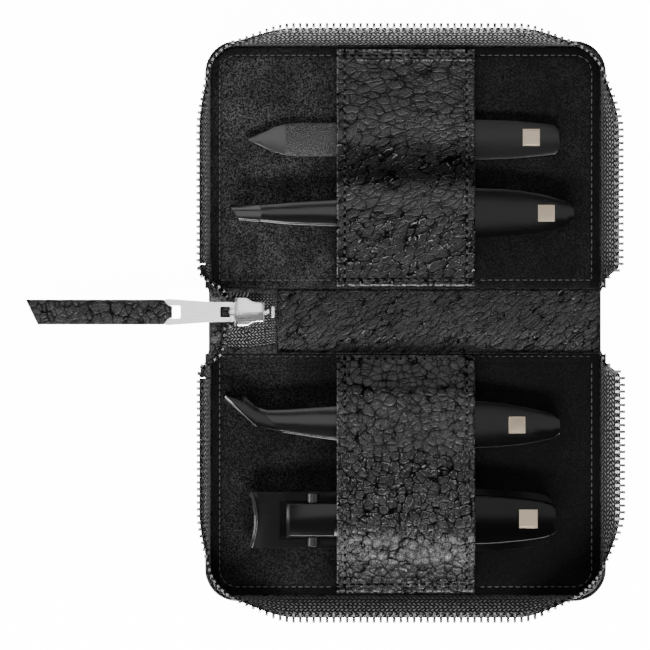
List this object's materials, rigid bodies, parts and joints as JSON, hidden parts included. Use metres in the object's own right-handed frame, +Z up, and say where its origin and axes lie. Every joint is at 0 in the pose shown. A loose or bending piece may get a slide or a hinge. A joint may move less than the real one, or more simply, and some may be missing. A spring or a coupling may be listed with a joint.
{
  "type": "manicure set case",
  "caption": "Zip-round leather manicure case opened flat, with a nail file, tweezers, a cuticle nipper and a nail clipper under two leather straps.",
  "frame": {"origin": "middle of the underside of the spine, on the surface that the opened case lies on", "axes": "X along the spine and the tools, with the zip pull at -X; Y across the opened case towards the half with the file and tweezers; +Z up"},
  "size_m": [0.1677, 0.1677, 0.0112],
  "materials": {
    "grained_leather": "black pebble-grained leather, slightly glossy",
    "strap_leather": "black coarse-grained leather with hemmed and stitched edges",
    "stiffener_board": "plain pressed board, hidden",
    "suede_lining": "black suede-like lining with a grey stitch line",
    "zip_tape": "black woven herringbone tape",
    "zip_metal": "bright nickel-plated teeth",
    "slider_metal": "polished nickel-plated zinc",
    "pull_metal": "satin bright metal",
    "black_steel": "brushed steel with a matte black coating",
    "pin_steel": "bare ground steel"
  },
  "bodies": {
    "spine": {"spine_leather": "grained_leather", "spine_lining": "strap_leather", "zip_tail_tape": "zip_tape", "zip_tail_chain": "zip_metal", "zip_bottom_stop": "zip_metal", "zip_bridge_tape_lower": "zip_tape", "zip_bridge_tape_upper": "zip_tape", "zip_bridge_teeth_lower": "zip_metal", "zip_bridge_teeth_upper": "zip_metal"},
    "half_lower": {"cover_leather_lower": "grained_leather", "stiffener_board_lower": "stiffener_board", "lining_lower": "suede_lining", "zip_tape_lower": "zip_tape", "zip_teeth_lower": "zip_metal", "strap_lower": "strap_leather"},
    "half_upper": {"cover_leather_upper": "grained_leather", "stiffener_board_upper": "stiffener_board", "lining_upper": "suede_lining", "zip_tape_upper": "zip_tape", "zip_teeth_upper": "zip_metal", "strap_upper": "strap_leather"},
    "slider": {"slider_body": "slider_metal", "slider_cap": "slider_metal"},
    "pull": {"pull_plate": "pull_metal"},
    "pull_tab": {"pull_leather": "strap_leather"},
    "file": {"nail_file": "black_steel"},
    "tweezers": {"tweezers_lower_leaf": "black_steel"},
    "tweezers_leaf": {"tweezers_upper_leaf": "black_steel"},
    "nipper": {"nipper_lower_leaf": "black_steel"},
    "nipper_leaf": {"nipper_upper_leaf": "black_steel"},
    "clipper": {"clipper_lower_jaw": "black_steel"},
    "clipper_jaw": {"clipper_upper_jaw": "black_steel", "clipper_pin": "pin_steel"},
    "lever": {"clipper_lever": "black_steel"}
  },
  "joints": [
    {"name": "fold_lower", "type": "hinge", "parent": "spine", "child": "half_lower", "pos_m": [0, -0.009, 0.0024], "axis": [1, 0, 0], "range_deg": [-90, 0], "deforming": ["zip_bridge_tape_lower", "zip_bridge_tape_upper", "zip_bridge_teeth_lower", "zip_bridge_teeth_upper"]},
    {"name": "fold_upper", "type": "hinge", "parent": "spine", "child": "half_upper", "pos_m": [0, 0.009, 0.0024], "axis": [-1, 0, 0], "range_deg": [-90, 0], "deforming": ["zip_bridge_tape_lower", "zip_bridge_tape_upper", "zip_bridge_teeth_lower", "zip_bridge_teeth_upper"]},
    {"name": "slider_travel", "type": "slide", "parent": "spine", "child": "slider", "axis": [1, 0, 0], "range_m": [-0.005, 0.0015], "deforming": ["zip_bridge_tape_lower", "zip_bridge_tape_upper", "zip_bridge_teeth_lower", "zip_bridge_teeth_upper"]},
    {"name": "pull_swing", "type": "hinge", "parent": "slider", "child": "pull", "pos_m": [-0.0483, 0.0025, 0.0062], "axis": [0, 1, 0], "range_deg": [0, 100]},
    {"name": "tab_swing", "type": "hinge", "parent": "pull", "child": "pull_tab", "pos_m": [-0.06734, 0.0025, 0.00464], "axis": [0, -1, 0], "range_deg": [-40, 0]},
    {"name": "file_slide", "type": "slide", "parent": "half_upper", "child": "file", "axis": [1, 0, 0], "range_m": [-0.009, 0.01]},
    {"name": "tweezers_slide", "type": "slide", "parent": "half_upper", "child": "tweezers", "axis": [1, 0, 0], "range_m": [-0.004, 0.006]},
    {"name": "tweezers_squeeze", "type": "hinge", "parent": "tweezers", "child": "tweezers_leaf", "pos_m": [0.03808, 0.0302, 0.00631], "axis": [0, 0.9903, -0.1392], "range_deg": [-0.8, 0], "stiffness_Nm_per_rad": 2},
    {"name": "nipper_slide", "type": "slide", "parent": "half_lower", "child": "nipper", "axis": [1, 0, 0], "range_m": [-0.003, 0.01]},
    {"name": "nipper_squeeze", "type": "hinge", "parent": "nipper", "child": "nipper_leaf", "pos_m": [0.03486, -0.029, 0.0063], "axis": [0, 0.9903, -0.1392], "range_deg": [-0.8, 0], "stiffness_Nm_per_rad": 2},
    {"name": "clipper_slide", "type": "slide", "parent": "half_lower", "child": "clipper", "axis": [1, 0, 0], "range_m": [-0.009, 0.01]},
    {"name": "clipper_squeeze", "type": "hinge", "parent": "clipper", "child": "clipper_jaw", "pos_m": [0.034, -0.0555, 0.0045], "axis": [0, 1, 0], "range_deg": [-0.6, 0], "stiffness_Nm_per_rad": 5},
    {"name": "lever_swing", "type": "hinge", "parent": "clipper_jaw", "child": "lever", "pos_m": [-0.0259, -0.0555, 0.00735], "axis": [0, -1, 0], "range_deg": [0, 1.5]}
  ]
}
